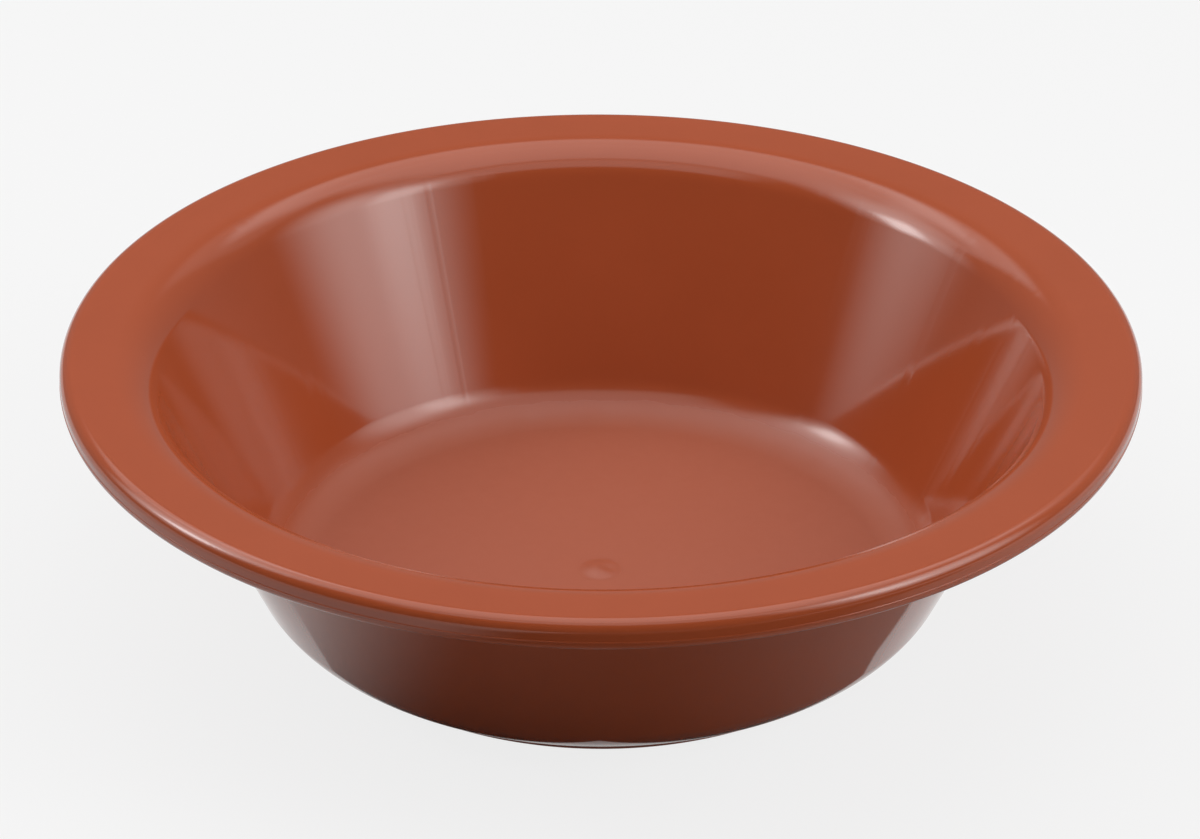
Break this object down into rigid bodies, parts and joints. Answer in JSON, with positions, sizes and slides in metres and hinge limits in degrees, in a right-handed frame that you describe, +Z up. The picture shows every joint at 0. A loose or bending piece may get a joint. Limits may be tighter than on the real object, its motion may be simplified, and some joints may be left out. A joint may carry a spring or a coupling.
{
  "type": "bowl",
  "caption": "Round glossy plastic bowl with a wide sloping rim flange, down-turned lip, straight sloping wall, rounded heel and low foot ring.",
  "frame": {"origin": "centre of the circle on which the foot ring stands, at the lowest point of the bowl", "axes": "+Z up along the axis of the bowl; the bowl is round, so +X and +Y are free"},
  "size_m": [0.3002, 0.3002, 0.0817],
  "materials": {
    "terracotta_plastic": "smooth moulded gloss"
  },
  "bodies": {
    "root": {"rolled_lip": "terracotta_plastic", "rim_flange": "terracotta_plastic", "rim_shoulder": "terracotta_plastic", "side_wall": "terracotta_plastic", "heel": "terracotta_plastic", "floor_disc": "terracotta_plastic", "gate_mark": "terracotta_plastic", "foot_ring": "terracotta_plastic"}
  },
  "joints": []
}
